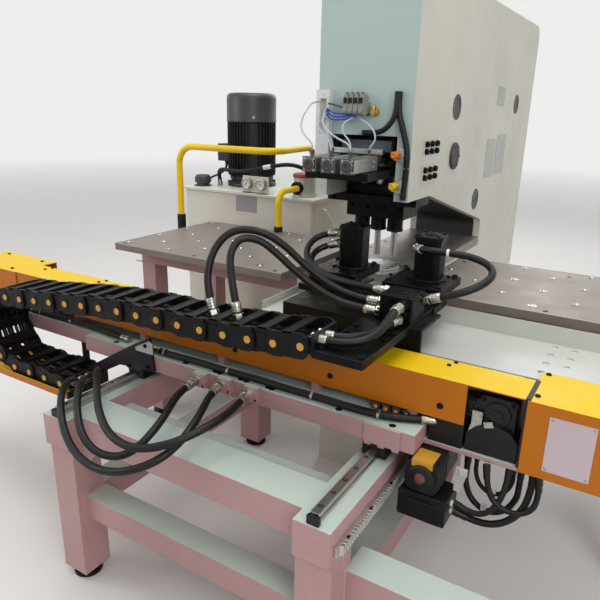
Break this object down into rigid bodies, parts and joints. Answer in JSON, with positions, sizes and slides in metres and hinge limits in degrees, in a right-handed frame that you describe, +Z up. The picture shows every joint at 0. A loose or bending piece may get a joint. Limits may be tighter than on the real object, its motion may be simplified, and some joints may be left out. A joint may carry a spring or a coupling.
{
  "type": "cnc hydraulic punching machine",
  "caption": "C-frame hydraulic punching press with a servo sheet positioner, clamp carriage, ball tables and an oil power unit.",
  "frame": {"origin": "on the floor, in the middle of the footprint", "axes": "+X right along the beam as seen from the clamp side, +Y to the back of the press, +Z up"},
  "size_m": [2.765, 2.9248, 1.95],
  "materials": {
    "cream_paint": "satin enamel",
    "grey_paint": "satin enamel",
    "yellow_paint": "semi-gloss enamel",
    "black_paint": "semi-matt enamel",
    "motor_paint": "satin enamel",
    "tray_paint": "gloss enamel",
    "table_steel": "ground steel",
    "bright_steel": "ground steel",
    "black_steel": "blackened steel",
    "chrome_ball": "polished",
    "aluminium": "anodised",
    "rubber": "smooth rubber",
    "belt_rubber": "moulded rubber",
    "chain_plastic": "moulded nylon",
    "fitting_plastic": "moulded"
  },
  "bodies": {
    "press": {"c_frame": "grey_paint", "side_covers": "black_steel", "throat_table": "table_steel", "die_set": "bright_steel", "punch_guide": "black_steel", "left_table": "table_steel", "right_table": "table_steel", "ball_units": "chrome_ball", "table_supports": "cream_paint", "base_frame": "cream_paint", "levelling_feet": "black_steel", "y_rails": "bright_steel", "oil_tank": "cream_paint", "pump_motor": "motor_paint", "tank_fittings": "fitting_plastic", "valve_manifold": "black_steel", "guard_tubes": "yellow_paint", "head_fittings": "fitting_plastic"},
    "ram": {"ram": "black_steel", "punches": "bright_steel", "cylinder_bracket": "black_steel", "air_cylinders": "aluminium"},
    "beam": {"x_beam": "cream_paint", "beam_cover": "yellow_paint", "end_cap_left": "yellow_paint", "end_cap_right": "yellow_paint", "x_rails": "bright_steel", "y_runner_blocks": "black_steel", "drip_tray": "tray_paint", "chain_tray": "yellow_paint", "chain_brackets": "black_paint", "x_drive": "black_paint", "x_belt": "belt_rubber", "y_drive": "black_paint", "chain_lower": "chain_plastic", "lower_hose_1": "rubber", "lower_hose_2": "rubber", "lower_hose_3": "rubber", "conduit": "rubber"},
    "carriage": {"carriage_plate": "black_steel", "x_runner_blocks": "black_steel", "hose_manifold": "black_steel", "clamp_frames": "black_steel", "chain_top": "chain_plastic", "clamp_hose_1": "rubber", "clamp_hose_2": "rubber", "clamp_hose_3": "rubber", "loop_hose_1": "rubber", "loop_hose_2": "rubber", "chain_hose_1": "rubber", "chain_hose_2": "rubber"},
    "selector_1": {"selector_1": "bright_steel"},
    "selector_2": {"selector_2": "bright_steel"},
    "selector_3": {"selector_3": "bright_steel"},
    "x_pulley": {"x_pulley": "aluminium"},
    "x_idler": {"x_idler": "aluminium"},
    "y_pinion": {"y_pinion": "bright_steel"},
    "chain_loop": {"chain_loop": "chain_plastic"},
    "clamp_piston_left": {"clamp_piston_left": "bright_steel"},
    "clamp_piston_right": {"clamp_piston_right": "bright_steel"}
  },
  "joints": [
    {"name": "ram_slide", "type": "slide", "parent": "press", "child": "ram", "axis": [0, 0, 1], "range_m": [-0.045, 0]},
    {"name": "selector_1_slide", "type": "slide", "parent": "ram", "child": "selector_1", "axis": [0, 1, 0], "range_m": [-0.07, 0]},
    {"name": "selector_2_slide", "type": "slide", "parent": "ram", "child": "selector_2", "axis": [0, 1, 0], "range_m": [-0.07, 0]},
    {"name": "selector_3_slide", "type": "slide", "parent": "ram", "child": "selector_3", "axis": [0, 1, 0], "range_m": [-0.07, 0]},
    {"name": "y_travel", "type": "slide", "parent": "press", "child": "beam", "axis": [0, 1, 0], "range_m": [-0.3, 0.04]},
    {"name": "x_travel", "type": "slide", "parent": "beam", "child": "carriage", "axis": [1, 0, 0], "range_m": [-1.15, 0.32], "deforming": ["chain_top"]},
    {"name": "chain_loop_travel", "type": "slide", "parent": "beam", "child": "chain_loop", "axis": [1, 0, 0], "range_m": [-0.576, 0.161], "deforming": ["chain_lower"]},
    {"name": "x_pulley_spin", "type": "hinge", "parent": "beam", "child": "x_pulley", "pos_m": [0.865, -0.902, 0.775], "axis": [0, 1, 0], "range_deg": [-3400, 1000]},
    {"name": "x_idler_spin", "type": "hinge", "parent": "beam", "child": "x_idler", "pos_m": [-1, -0.902, 0.775], "axis": [0, 1, 0], "range_deg": [-3400, 1000]},
    {"name": "y_pinion_spin", "type": "hinge", "parent": "beam", "child": "y_pinion", "pos_m": [0.68, -0.95, 0.543], "axis": [0, 0, 1], "range_deg": [-500, 80]},
    {"name": "clamp_left_slide", "type": "slide", "parent": "carriage", "child": "clamp_piston_left", "axis": [0, 0, 1], "range_m": [-0.0075, 0]},
    {"name": "clamp_right_slide", "type": "slide", "parent": "carriage", "child": "clamp_piston_right", "axis": [0, 0, 1], "range_m": [-0.0075, 0]}
  ],
  "couplings": [
    {"joint": "chain_loop_travel", "follows": "x_travel", "ratio": 0.5},
    {"joint": "x_pulley_spin", "follows": "x_travel", "rad_per_m": 50},
    {"joint": "x_idler_spin", "follows": "x_travel", "rad_per_m": 50},
    {"joint": "y_pinion_spin", "follows": "y_travel", "rad_per_m": 27.778}
  ]
}
